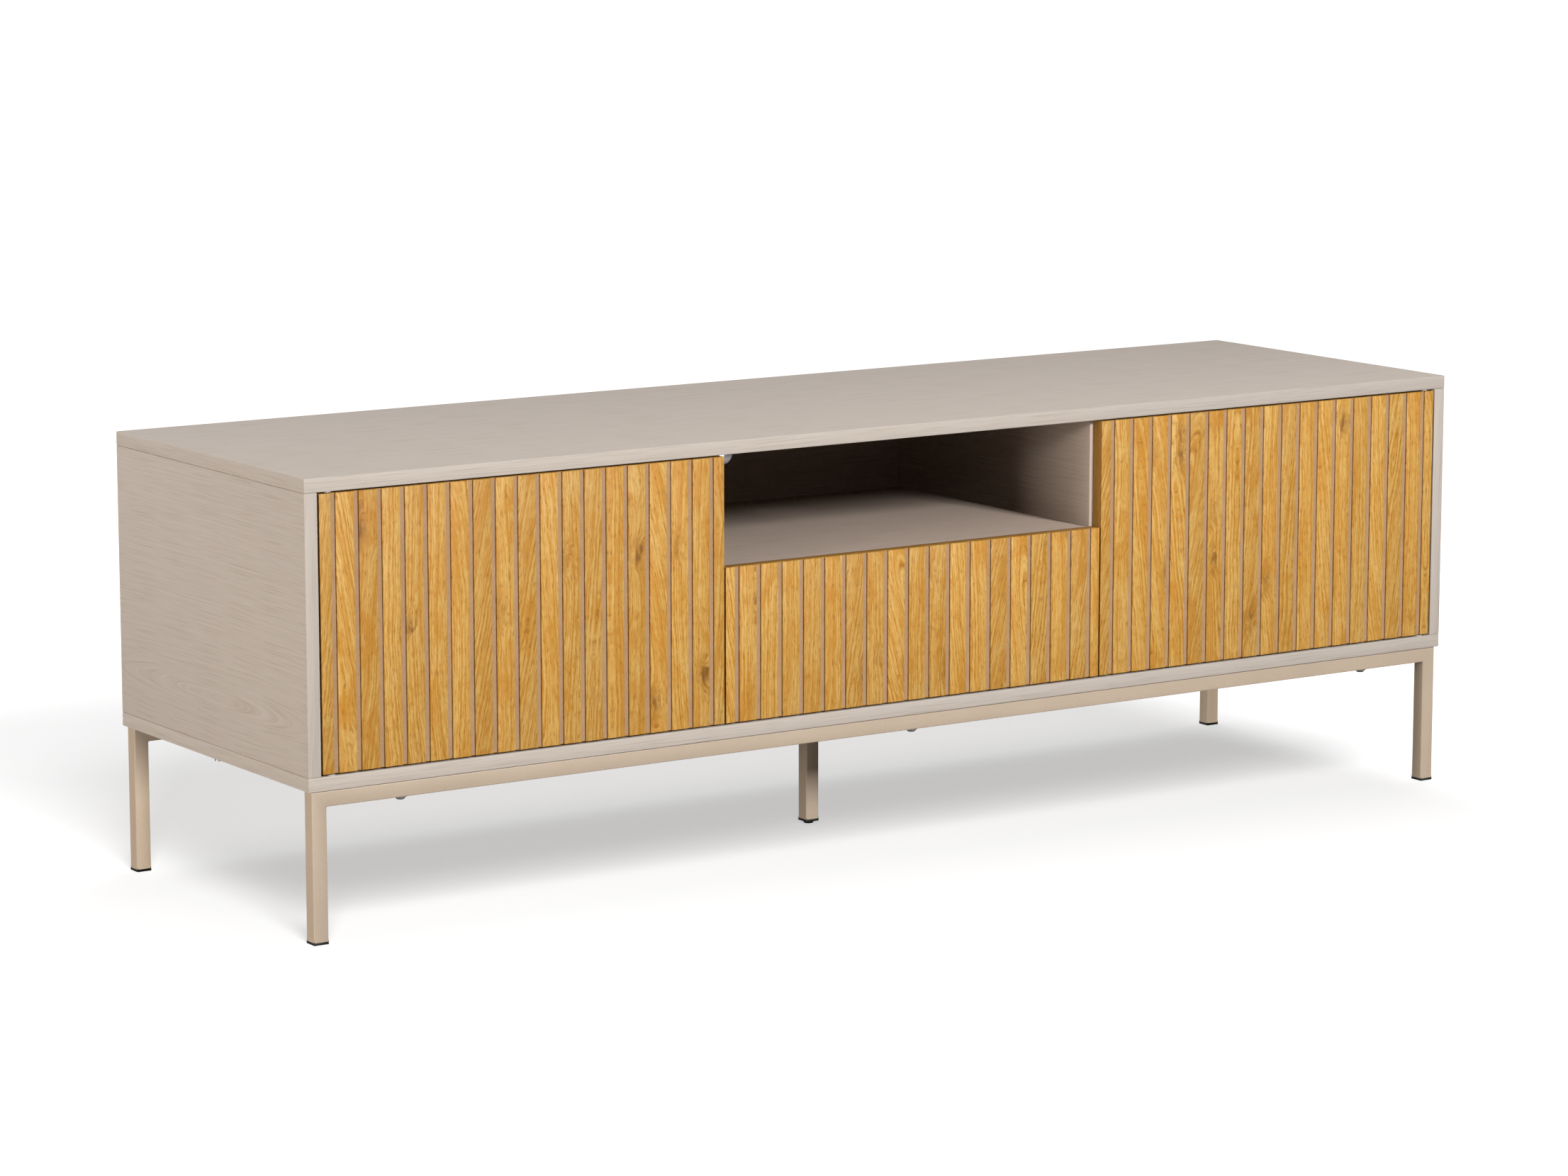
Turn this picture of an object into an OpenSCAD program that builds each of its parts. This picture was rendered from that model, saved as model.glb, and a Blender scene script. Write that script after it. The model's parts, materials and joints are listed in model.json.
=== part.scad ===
// Media cabinet: two slatted doors and a slatted drawer set flush into a board carcass,
// an open niche above the drawer, and a base of two welded square-tube frames.
// Millimetres. Origin on the floor under the middle of the carcass,
// +X to the right, +Y to the back, +Z up.

/* [Carcass] */
// Overall width
cab_w = 1600; // [1400:10:2000]
// Overall depth
cab_d = 452; // [430:1:520]
// Overall height above the floor
cab_h = 512; // [500:1:620]
// Height of the carcass underside above the floor
base_h = 170; // [120:1:180]
// Thickness of the carcass boards
board_t = 16; // [16:0.5:18]
// Clear width of the middle section
niche_w = 523; // [460:1:600]
// Clear height of the open niche
niche_h = 130; // [100:1:140]
// Distance from the rear edge to the front face of the back panels
back_inset = 36; // [24:1:40]
// Radius of the cable hole in the niche back
cable_hole_r = 15.5; // [10:0.5:30]

/* [Fronts] */
// Gap around the doors and the drawer front
front_gap = 2; // [2:0.5:3]
// Thickness of the board behind the slats
front_board_t = 14; // [14:0.5:16]
// Thickness of the oak slats
slat_t = 2; // [1.5:0.5:3]
// Number of slats on each front
slat_count = 19; // [9:1:23]
// Width of the grooves between the slats
groove_w = 6; // [3:0.5:8]
// Width of a door's edge slats as a share of its full slats
door_edge_share = 0.62; // [0.4:0.02:1]
// Width of the drawer's edge slats as a share of its full slats
drawer_edge_share = 0.53; // [0.4:0.01:1]
// Thickness of the oak edging around each front board
edging_t = 1; // [0.5:0.5:2]

/* [Base] */
// Outer width of the square tube
tube_w = 18; // [16:1:30]
// Wall thickness of the square tube
tube_wall = 1.5; // [1:0.5:2.5]
// Distance from the carcass sides in to the legs
leg_inset_x = 5; // [0:1:40]
// Distance from the carcass front and rear in to the legs
leg_inset_y = 2.3; // [0:0.1:20]
// Thickness of the plastic plate under each leg
cap_t = 3; // [2:0.5:6]
// Distance from the carcass sides in to the outer screws of each leg frame
frame_screw_inset = 118.5; // [60:0.5:200]

/* [Drawer] */
// Thickness of the drawer box boards
box_t = 12; // [12:0.5:14]
// Length of the drawer box and its runners
runner_len = 350; // [300:10:350]
// Height of the runner profile
runner_h = 45; // [40:1:46]
// Room between a partition and the drawer box
runner_room = 12.7; // [12.7:0.1:13.5]

/* [Hidden] */

$fn = 48;

// Colours of the materials
beige = "#c8baa8";
oak = "#dcac60";
bare_mdf = "#b89478";
powder_coat = "#c3b098";
black_plastic = "#1c1c1c";
white_plastic = "#e4e2dc";
grey_plastic = "#8f867e";
zinc = "#b8bcc0";
beech = "#d8b88c";

// Length by which a cut runs past the face that it opens
over = 1;
// Radial gap between a fixed piece and the bore that it sits in
fit = 0.05;

// Main planes of the carcass
half_w = cab_w / 2;
half_d = cab_d / 2;
floor_z = base_h + board_t;
ceil_z = cab_h - board_t;
side_in_x = -half_w + board_t;
partition_in_x = -niche_w / 2;
partition_out_x = partition_in_x - board_t;
shelf_top_z = ceil_z - niche_h;
shelf_under_z = shelf_top_z - board_t;

// Planes of the inset fronts
front_y = -half_d;
front_t = front_board_t + slat_t;
front_rear_y = front_y + front_t;
partition_front_y = front_rear_y + 1;
front_low_z = floor_z + front_gap;
door_top_z = ceil_z - front_gap;
door_x = [side_in_x + front_gap, partition_in_x - 3 - front_gap];
drawer_front_x = [partition_in_x - 3, -partition_in_x + 3];
drawer_front_z = [front_low_z, shelf_top_z + 1];

// Back panels and the grooves that hold them
back_t = 3;
back_y = half_d - back_inset;
groove_depth = 6;
groove_slack = 0.3;

// Flanged sleeve in the cable hole
cable_hole_z = (shelf_top_z + ceil_z) / 2 - 3;
grommet_wall = 1.5;
grommet_len = 16;
grommet_flange_w = 3;
grommet_flange_t = 1;

// Joints between the uprights and the panels above and below them
upright_mid_x = [side_in_x - board_t / 2, partition_in_x - board_t / 2];
joint_ends = [[floor_z, -1], [ceil_z, 1]];
dowel_y = [-118, 118];
dowel_r = 4;
dowel_in_upright = 20;
dowel_in_panel = 10;
cam_y = [-150, 150];
cam_r = 7.4;
cam_depth = 12;
cam_from_end = 34;
bolt_shaft_r = 3.5;
bolt_thread_r = 2.5;
bolt_in_panel = 10.5;
cam_channel_r = 3.7;

// Confirmat screws
confirmat_r = 2.45;
confirmat_len = 46;
confirmat_head_r = 4.75;
confirmat_head_t = 3.2;
shelf_screw_y = [-150, 120];

// Adjustable shelves on pins
pin_r = 2.5;
pin_y = [-160, 150];
pin_in_board = 8;
pin_reach = 16;
bay_shelf_z = [333, 333 + board_t];
bay_shelf_y = [front_rear_y + 20, back_y - 5];
bay_shelf_slack = 1;
pin_z = bay_shelf_z[0] - pin_r;

// Door pivots near the outer front corner of each door
pivot_x = door_x[0] + 12;
pivot_y = front_y + 6;
pivot_pin_r = 2;
pivot_pin_in_door = 20;
pivot_pin_in_socket = 8;
socket_r = 3.5;
socket_len = 10;
socket_flange_r = 5;
socket_flange_t = 0.8;

// Push latches: a body, a sliding plunger and a strike on the front that it pushes
latch_axis_drop = 10;
latch_y = [partition_front_y + 4, partition_front_y + 74];
latch_half_w = 8;
latch_h = 18;
latch_wing = 8;
latch_wing_t = 3;
latch_screw_y = [latch_y[0] + 14, latch_y[1] - 14];
latch_screw_r = 1.75;
latch_screw_len = 15;
plunger_r = 4;
plunger_len = 56;
plunger_tip_r = 5.5;
plunger_tip_t = 2.5;
strike_r = 7;
strike_t = 1;
strike_spigot_r = 2.5;
strike_spigot_len = 8;
plunger_front_y = front_rear_y + strike_t + 0.3;
door_latch_x = partition_out_x - 22.5;
door_latch_z = ceil_z - latch_axis_drop;
drawer_latch_z = shelf_under_z - latch_axis_drop;
latch_places = [
  [door_latch_x, ceil_z],
  [-door_latch_x, ceil_z],
  [0, shelf_under_z],
];

// Leg frames and the centre leg
leg_x = half_w - leg_inset_x;
leg_y = half_d - leg_inset_y;
tube_mid_y = leg_y - tube_w / 2;
cap_plug_w = tube_w - 2 * tube_wall - 2 * fit;
cap_plug_len = 12;
frame_screw_x = half_w - frame_screw_inset;
frame_screw_r = 3;
frame_screw_head_r = 7;
frame_screw_head_t = 4;
frame_screw_in_panel = 12;
glide_t = 3;
glide_r = 6;
glide_gap = 0.3;
glide_stem_r = 3;
glide_stem_len = 20;
centre_plate_w = 60;
centre_plate_t = 3;
centre_screw_off = 22;
centre_screw_r = 2;
centre_screw_head_r = 4;
centre_screw_head_t = 2.2;
centre_screw_in_panel = 12;

// Drawer box
box_half_w = niche_w / 2 - runner_room;
box_inner_half_w = box_half_w - box_t;
box_y = [front_rear_y, front_rear_y + runner_len];
box_z = [floor_z + 14, shelf_under_z - 40];
box_bottom_z = [box_z[0] + 10, box_z[0] + 10 + back_t];
box_cam_z = [box_z[0] + 24, box_z[1] - 24];
box_cam_r = 6;
box_cam_depth = 9.5;
box_cam_y = front_rear_y + 24;
box_bolt_r = 2.5;
box_bolt_in_front = 10;
box_screw_r = 2;
box_screw_head_r = 3.8;
box_screw_head_t = 2;
box_screw_len = 34;

// Runner profiles, measured from the partition face towards the drawer
runner_y = [front_rear_y + 3, front_rear_y + 3 + runner_len];
runner_mid_z = box_z[0] + 45;
sheet_t = 1.2;
cabinet_rail_reach = 8.5;
middle_rail_x = [4.2, 11];
middle_rail_h = runner_h - 8.6;
drawer_rail_reach = 6.8;
drawer_rail_h = middle_rail_h - 8.4;
runner_screw_y = [30, 190, 320];
runner_screw_r = 2;
runner_screw_head_r = 3.5;
runner_screw_head_t = 1;
runner_screw_len = 10;

// ---------------------------------------------------------------- helpers

// Block between two values on each axis
module block(x, y, z) {
  translate([x[0], y[0], z[0]])
    cube([x[1] - x[0], y[1] - y[0], z[1] - z[0]]);
}

// Round rods that start at p and run along +X, +Y or +Z
module rod_x(p, r, len) {
  translate(p) rotate([0, 90, 0]) cylinder(r = r, h = len);
}

module rod_y(p, r, len) {
  translate(p) rotate([-90, 0, 0]) cylinder(r = r, h = len);
}

module rod_z(p, r, len) {
  translate(p) cylinder(r = r, h = len);
}

// The left-hand piece mirrored to the right-hand half
module right_half() {
  mirror([1, 0, 0]) children();
}

// A piece on the left-hand half and its mirror image
module both_halves() {
  children();
  right_half() children();
}

// Start of a rod that crosses the joint plane z, up = 1 above the upright and -1 below it
function joint_start(z, up, in_upright, in_panel) = up > 0 ? z - in_upright : z - in_panel;

// ---------------------------------------------------------------- joints of the uprights

module dowel_rods(mid_x, r) {
  for (y = dowel_y, end = joint_ends)
    rod_z(
      [mid_x, y, joint_start(end[0], end[1], dowel_in_upright, dowel_in_panel)],
      r, dowel_in_upright + dowel_in_panel
    );
}

// Bolt channel in the upright and threaded bore in the panel
module cam_bolt_bores(mid_x) {
  for (y = cam_y, end = joint_ends) {
    rod_z(
      [mid_x, y, joint_start(end[0], end[1], cam_from_end, 0)],
      bolt_shaft_r + 0.2, cam_from_end
    );
    rod_z(
      [mid_x, y, joint_start(end[0], end[1], 0, bolt_in_panel)],
      bolt_thread_r + fit, bolt_in_panel
    );
  }
}

module upright_joint_bores(mid_x) {
  dowel_rods(mid_x, dowel_r + fit);
  cam_bolt_bores(mid_x);
  rod_z([mid_x, 0, base_h - over], confirmat_r + fit, confirmat_len + over);
}

// Bores in the face of an upright that looks into a bay, cut towards -X from the plane x = 0
module bay_face_bores() {
  for (y = cam_y, end = joint_ends)
    rod_x([-cam_depth, y, end[0] - end[1] * cam_from_end], cam_r + fit, cam_depth + over);
  for (y = pin_y)
    rod_x([-pin_in_board, y, pin_z], pin_r, pin_in_board + over);
}

// Groove that holds the edge of a back panel, on both sides of the plane x = 0
module back_groove_z(x) {
  block(x, [back_y, back_y + back_t + fit], [floor_z - over, ceil_z + over]);
}

module back_groove_x(z) {
  block(
    [side_in_x - groove_depth, -side_in_x + groove_depth],
    [back_y, back_y + back_t + fit], z
  );
}

// ---------------------------------------------------------------- carcass

module top_panel() {
  color(beige)
    difference() {
      block([-half_w, half_w], [-half_d, half_d], [ceil_z, cab_h]);
      both_halves() {
        for (x = upright_mid_x)
          upright_joint_bores(x);
        rod_z([pivot_x, pivot_y, ceil_z - over], socket_r + fit, socket_len + over);
      }
      for (x = [door_latch_x, -door_latch_x])
        latch_screw_rods(x, ceil_z, fit);
      back_groove_x([ceil_z - over, ceil_z + groove_depth]);
    }
}

module bottom_panel() {
  color(beige)
    difference() {
      block([-half_w, half_w], [-half_d, half_d], [base_h, floor_z]);
      both_halves() {
        for (x = upright_mid_x)
          upright_joint_bores(x);
        rod_z([pivot_x, pivot_y, floor_z - socket_len], socket_r + fit, socket_len + over);
      }
      back_groove_x([floor_z - groove_depth, floor_z + over]);
      frame_screw_rods(frame_screw_r + fit);
      centre_screw_rods(centre_screw_r + fit);
    }
}

module left_side_panel() {
  color(beige)
    difference() {
      block([-half_w, side_in_x], [-half_d, half_d], [floor_z, ceil_z]);
      upright_joint_bores(upright_mid_x[0]);
      translate([side_in_x, 0, 0]) bay_face_bores();
      back_groove_z([side_in_x - groove_depth, side_in_x + over]);
    }
}

module left_partition() {
  color(beige)
    difference() {
      block([partition_out_x, partition_in_x], [partition_front_y, half_d], [floor_z, ceil_z]);
      upright_joint_bores(upright_mid_x[1]);
      translate([partition_out_x, 0, 0]) mirror([1, 0, 0]) bay_face_bores();
      back_groove_z([partition_out_x - over, partition_out_x + groove_depth]);
      back_groove_z([partition_in_x - groove_depth, partition_in_x + over]);
      shelf_screw_rods(fit);
      cabinet_rail_screw_rods(fit);
    }
}

module right_side_panel() {
  right_half() left_side_panel();
}

module right_partition() {
  right_half() left_partition();
}

module niche_shelf() {
  color(beige)
    difference() {
      block(
        [partition_in_x, -partition_in_x], [partition_front_y, back_y],
        [shelf_under_z, shelf_top_z]
      );
      both_halves() shelf_screw_rods(fit);
      latch_screw_rods(0, shelf_under_z, fit);
    }
}

// Back panel between two grooved boards whose facing planes are x[0] and x[1]
module back_panel(x) {
  reach = groove_depth - groove_slack;
  color(beige)
    block(
      [x[0] - reach, x[1] + reach], [back_y, back_y + back_t],
      [floor_z - reach, ceil_z + reach]
    );
}

module left_back_panel() {
  back_panel([side_in_x, partition_out_x]);
}

module right_back_panel() {
  right_half() left_back_panel();
}

module niche_back_panel() {
  difference() {
    back_panel([partition_in_x, -partition_in_x]);
    rod_y([0, back_y - over, cable_hole_z], cable_hole_r, back_t + 2 * over);
  }
}

// Plastic sleeve that lines the cable hole, with its flange inside the niche
module cable_grommet() {
  start = [0, back_y - grommet_flange_t, cable_hole_z];
  whole_len = grommet_flange_t + grommet_len;
  color(grey_plastic)
    difference() {
      union() {
        rod_y(start, cable_hole_r + grommet_flange_w, grommet_flange_t);
        rod_y(start, cable_hole_r - fit, whole_len);
      }
      rod_y(start - [0, over, 0], cable_hole_r - grommet_wall, whole_len + 2 * over);
    }
}

module left_bay_shelf() {
  color(beige)
    block(
      [side_in_x + bay_shelf_slack, partition_out_x - bay_shelf_slack],
      bay_shelf_y, bay_shelf_z
    );
}

module right_bay_shelf() {
  right_half() left_bay_shelf();
}

module shelf_pins() {
  color(zinc)
    both_halves()
      for (y = pin_y) {
        rod_x([side_in_x - pin_in_board, y, pin_z], pin_r - fit, pin_reach);
        rod_x([partition_out_x + pin_in_board - pin_reach, y, pin_z], pin_r - fit, pin_reach);
      }
}

// ---------------------------------------------------------------- carcass fittings

module wood_dowels() {
  color(beech)
    both_halves()
      for (x = upright_mid_x)
        dowel_rods(x, dowel_r);
}

// Cam with a driving slot in its face and a channel for the bolt, its face in the plane x = 0.
// The bolt lies bolt_depth behind the face and comes in along Z from the side channel_to.
module cam_lock(r, depth, bolt_depth, channel_r, channel_to) {
  slot = r * 1.1;
  difference() {
    rod_x([-depth, 0, 0], r, depth);
    rod_z([-bolt_depth, 0, min(0, channel_to)], channel_r, abs(channel_to));
    block([-2, over], [-1, 1], [-slot / 2, slot / 2]);
    block([-2, over], [-slot / 2, slot / 2], [-1, 1]);
  }
}

// The cams of one upright, their faces in the plane x = 0
module upright_cams() {
  for (y = cam_y, end = joint_ends)
    translate([0, y, end[0] - end[1] * cam_from_end])
      cam_lock(cam_r, cam_depth, board_t / 2, cam_channel_r, end[1] * (cam_r + over));
}

module cam_locks() {
  color(zinc)
    both_halves() {
      translate([side_in_x, 0, 0]) upright_cams();
      translate([partition_out_x, 0, 0]) mirror([1, 0, 0]) upright_cams();
    }
}

// Bolt along +Z: thread above z = 0, then shaft, neck and head down to z = -cam_from_end
module cam_bolt() {
  head_len = 3;
  neck_len = 3;
  shaft_len = cam_from_end - head_len - neck_len;
  rod_z([0, 0, 0], bolt_thread_r, bolt_in_panel);
  rod_z([0, 0, -shaft_len], bolt_shaft_r, shaft_len);
  rod_z([0, 0, -shaft_len - neck_len], 2, neck_len);
  rod_z([0, 0, -cam_from_end], bolt_shaft_r, head_len);
}

module cam_bolts() {
  color(zinc)
    both_halves()
      for (x = upright_mid_x, y = cam_y, end = joint_ends)
        translate([x, y, end[0]])
          mirror([0, 0, end[1] > 0 ? 0 : 1])
            cam_bolt();
}

// Shanks of the screws through the left partition into the niche shelf
module shelf_screw_rods(slack) {
  for (y = shelf_screw_y)
    rod_x(
      [partition_out_x - over, y, shelf_top_z - board_t / 2],
      confirmat_r + slack, confirmat_len + over
    );
}

// Confirmat screw with its head below the plane z = 0 and its shank above it
module confirmat_screw() {
  difference() {
    rod_z([0, 0, -confirmat_head_t], confirmat_head_r, confirmat_head_t);
    translate([0, 0, -confirmat_head_t - over]) cylinder(r = 2.2, h = over + 2, $fn = 6);
  }
  rod_z([0, 0, 0], confirmat_r, confirmat_len);
}

module confirmat_screws() {
  color(zinc)
    both_halves() {
      for (x = upright_mid_x)
        translate([x, 0, base_h]) confirmat_screw();
      for (y = shelf_screw_y)
        translate([partition_out_x, y, shelf_top_z - board_t / 2])
          rotate([0, 90, 0]) confirmat_screw();
    }
}

// ---------------------------------------------------------------- base

// Welded portal of square tube: two legs and the rail between them
module front_leg_frame() {
  y = [-leg_y, -leg_y + tube_w];
  hollow_y = [y[0] + tube_wall, y[1] - tube_wall];
  leg_in_x = leg_x - tube_w;
  rail_z = base_h - tube_w;
  color(powder_coat)
    difference() {
      block([-leg_x, leg_x], y, [cap_t, base_h]);
      block([-leg_in_x, leg_in_x], [y[0] - over, y[1] + over], [cap_t - over, rail_z]);
      block([-leg_x + tube_wall, leg_x - tube_wall], hollow_y, [rail_z + tube_wall, base_h - tube_wall]);
      both_halves()
        block([-leg_x + tube_wall, -leg_in_x - tube_wall], hollow_y, [cap_t - over, base_h - tube_wall]);
      frame_screw_rods(frame_screw_r + 0.3);
    }
}

module rear_leg_frame() {
  mirror([0, 1, 0]) front_leg_frame();
}

module frame_screw_places() {
  for (x = [-frame_screw_x, 0, frame_screw_x], y = [-tube_mid_y, tube_mid_y])
    translate([x, y, base_h - tube_w]) children();
}

module frame_screw_rods(r) {
  frame_screw_places() rod_z([0, 0, -over], r, tube_w + frame_screw_in_panel + over);
}

module frame_screws() {
  color(zinc)
    frame_screw_places() {
      difference() {
        rod_z([0, 0, -frame_screw_head_t], frame_screw_head_r, frame_screw_head_t);
        translate([0, 0, -frame_screw_head_t - over]) cylinder(r = 2.6, h = over + 2.4, $fn = 6);
      }
      rod_z([0, 0, 0], frame_screw_r, tube_w + frame_screw_in_panel);
    }
}

// Plate under a tube and the plug inside it, with its underside in the plane z = 0
module tube_cap() {
  block([-tube_w / 2, tube_w / 2], [-tube_w / 2, tube_w / 2], [0, cap_t]);
  block([-cap_plug_w / 2, cap_plug_w / 2], [-cap_plug_w / 2, cap_plug_w / 2],
    [cap_t, cap_t + cap_plug_len]);
}

module leg_end_caps() {
  color(black_plastic)
    for (x = [-1, 1], y = [-1, 1])
      translate([x * (leg_x - tube_w / 2), y * tube_mid_y, 0]) tube_cap();
}

module centre_screw_rods(r) {
  for (x = [-1, 1], y = [-1, 1])
    rod_z(
      [x * centre_screw_off, y * centre_screw_off, base_h - centre_plate_t - over],
      r, centre_plate_t + centre_screw_in_panel + over
    );
}

module centre_leg() {
  foot_z = glide_t + cap_t;
  bore_w = tube_w - 2 * tube_wall;
  color(powder_coat)
    difference() {
      union() {
        block([-tube_w / 2, tube_w / 2], [-tube_w / 2, tube_w / 2], [foot_z, base_h]);
        block(
          [-centre_plate_w / 2, centre_plate_w / 2], [-centre_plate_w / 2, centre_plate_w / 2],
          [base_h - centre_plate_t, base_h]
        );
      }
      block([-bore_w / 2, bore_w / 2], [-bore_w / 2, bore_w / 2],
        [foot_z - over, base_h - centre_plate_t]);
      centre_screw_rods(centre_screw_r + 0.2);
    }
}

module centre_leg_cap() {
  color(black_plastic)
    difference() {
      translate([0, 0, glide_t]) tube_cap();
      rod_z([0, 0, glide_t - over], glide_stem_r + fit, cap_t + cap_plug_len + 2 * over);
    }
}

module centre_leg_screws() {
  color(zinc)
    for (x = [-1, 1], y = [-1, 1])
      translate([x * centre_screw_off, y * centre_screw_off, base_h - centre_plate_t]) {
        rod_z([0, 0, -centre_screw_head_t], centre_screw_head_r, centre_screw_head_t);
        rod_z([0, 0, 0], centre_screw_r, centre_plate_t + centre_screw_in_panel);
      }
}

module levelling_glide() {
  color(black_plastic) {
    rod_z([0, 0, 0], glide_r, glide_t - glide_gap);
    rod_z([0, 0, 0], glide_stem_r, glide_t + glide_stem_len);
  }
}

// ---------------------------------------------------------------- door pivots and latches

// Socket with its flange below the plane z = 0 and its sleeve above it
module pivot_socket() {
  difference() {
    union() {
      rod_z([0, 0, 0], socket_r, socket_len);
      rod_z([0, 0, -socket_flange_t], socket_flange_r, socket_flange_t);
    }
    rod_z([0, 0, -socket_flange_t - over], pivot_pin_r + fit, over + socket_flange_t + socket_len - 1);
  }
}

module pivot_sockets() {
  color(white_plastic)
    both_halves() {
      translate([pivot_x, pivot_y, ceil_z]) pivot_socket();
      translate([pivot_x, pivot_y, floor_z]) mirror([0, 0, 1]) pivot_socket();
    }
}

// Pins at the top and bottom of the left door
module pivot_pin_rods(r, extra) {
  len = pivot_pin_in_door + front_gap + pivot_pin_in_socket;
  rod_z([pivot_x, pivot_y, door_top_z - pivot_pin_in_door - extra], r, len + extra);
  rod_z([pivot_x, pivot_y, front_low_z + pivot_pin_in_door - len], r, len + extra);
}

// Screws of the latch whose mounting face is at mount_z
module latch_screw_rods(x, mount_z, slack) {
  for (side = [0, 1])
    rod_z(
      [x + (side * 2 - 1) * (latch_half_w + latch_wing / 2), latch_screw_y[side],
        mount_z - latch_wing_t - over],
      latch_screw_r + slack, latch_wing_t + latch_screw_len - 5 + over
    );
}

module latch_body(x, mount_z) {
  wide = latch_half_w + latch_wing;
  difference() {
    union() {
      block([x - latch_half_w, x + latch_half_w], latch_y, [mount_z - latch_h, mount_z]);
      block([x - wide, x + wide], latch_y, [mount_z - latch_wing_t, mount_z]);
    }
    rod_y(
      [x, latch_y[0] - over, mount_z - latch_axis_drop], plunger_r + fit,
      plunger_len + 2 * over
    );
    latch_screw_rods(x, mount_z, 0.2);
  }
}

module push_latch_bodies() {
  color(white_plastic)
    for (place = latch_places)
      latch_body(place[0], place[1]);
}

module push_latch_screws() {
  head_r = 3.2;
  head_t = 2;
  color(zinc)
    for (place = latch_places, side = [0, 1])
      translate([
        place[0] + (side * 2 - 1) * (latch_half_w + latch_wing / 2), latch_screw_y[side],
        place[1] - latch_wing_t
      ]) {
        rod_z([0, 0, -head_t], head_r, head_t);
        rod_z([0, 0, 0], latch_screw_r, latch_wing_t + latch_screw_len - 6);
      }
}

module plunger(x, z) {
  color(white_plastic) {
    rod_y([x, plunger_front_y, z], plunger_tip_r, plunger_tip_t);
    rod_y([x, plunger_front_y, z], plunger_r, plunger_len);
  }
}

module strike_spigot_rod(x, z, slack) {
  rod_y([x, front_rear_y - strike_spigot_len, z], strike_spigot_r + slack, strike_spigot_len + over);
}

module strike(x, z) {
  color(zinc) {
    rod_y([x, front_rear_y, z], strike_r, strike_t);
    rod_y([x, front_rear_y - strike_spigot_len, z], strike_spigot_r, strike_spigot_len);
  }
}

// ---------------------------------------------------------------- slatted fronts

// Board of a front, inside its edging
module front_board(x, z) {
  color(bare_mdf)
    block(
      [x[0] + edging_t, x[1] - edging_t], [front_y + slat_t, front_rear_y],
      [z[0] + edging_t, z[1] - edging_t]
    );
}

// Four strips around the edges of a front board, the upright two between the others
module front_edging(x, z) {
  y = [front_y + slat_t, front_rear_y];
  upright_z = [z[0] + edging_t + fit, z[1] - edging_t - fit];
  color(oak) {
    block(x, y, [z[0], z[0] + edging_t]);
    block(x, y, [z[1] - edging_t, z[1]]);
    block([x[0], x[0] + edging_t], y, upright_z);
    block([x[1] - edging_t, x[1]], y, upright_z);
  }
}

// Width of a full slat when the two edge slats are narrower by the given share
function slat_width(width, edge_share) =
  (width - (slat_count - 1) * groove_w) / (slat_count - 2 + 2 * edge_share);

module front_slats(x, z, edge_share) {
  full = slat_width(x[1] - x[0], edge_share);
  edge = full * edge_share;
  pitch = full + groove_w;
  color(oak)
    for (i = [0 : slat_count - 1]) {
      first = i == 0;
      last = i == slat_count - 1;
      start = first ? x[0] : x[0] + edge + groove_w + (i - 1) * pitch;
      block([start, start + (first || last ? edge : full)], [front_y, front_y + slat_t], z);
    }
}

module left_door_board() {
  difference() {
    front_board(door_x, [front_low_z, door_top_z]);
    pivot_pin_rods(pivot_pin_r + fit, fit);
    strike_spigot_rod(door_latch_x, door_latch_z, fit);
  }
}

module left_door_slats() {
  front_slats(door_x, [front_low_z, door_top_z], door_edge_share);
}

module left_door_edging() {
  difference() {
    front_edging(door_x, [front_low_z, door_top_z]);
    pivot_pin_rods(pivot_pin_r + fit, fit);
  }
}

module left_door_pivot_pins() {
  color(zinc) pivot_pin_rods(pivot_pin_r, 0);
}

module left_door_strike() {
  strike(door_latch_x, door_latch_z);
}

module left_door_plunger() {
  plunger(door_latch_x, door_latch_z);
}

module right_door_board() {
  right_half() left_door_board();
}

module right_door_slats() {
  right_half() left_door_slats();
}

module right_door_edging() {
  right_half() left_door_edging();
}

module right_door_pivot_pins() {
  right_half() left_door_pivot_pins();
}

module right_door_strike() {
  right_half() left_door_strike();
}

module right_door_plunger() {
  right_half() left_door_plunger();
}

// ---------------------------------------------------------------- drawer

// Bolts from the drawer front into the cams of the box's left side
module box_bolt_rods(slack) {
  for (z = box_cam_z)
    rod_y(
      [-box_half_w + box_t / 2, front_rear_y - box_bolt_in_front, z],
      box_bolt_r + slack, box_bolt_in_front + box_cam_y - front_rear_y
    );
}

// Screws through the box's left side into the end of its back
module box_screw_rods(slack) {
  for (z = box_cam_z)
    rod_x(
      [-box_half_w - over, box_y[1] - box_t / 2, z], box_screw_r + slack, box_screw_len + over
    );
}

module drawer_bottom_block(slack) {
  reach = groove_depth - groove_slack + slack;
  block(
    [-box_inner_half_w - reach, box_inner_half_w + reach],
    [front_rear_y - reach, box_y[1] - box_t + reach],
    [box_bottom_z[0] - slack / 4, box_bottom_z[1] + slack / 4]
  );
}

module drawer_front_board() {
  difference() {
    front_board(drawer_front_x, drawer_front_z);
    both_halves() box_bolt_rods(fit);
    drawer_bottom_block(groove_slack);
    strike_spigot_rod(0, drawer_latch_z, fit);
  }
}

module drawer_front_slats() {
  front_slats(drawer_front_x, drawer_front_z, drawer_edge_share);
}

module drawer_front_edging() {
  front_edging(drawer_front_x, drawer_front_z);
}

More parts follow.
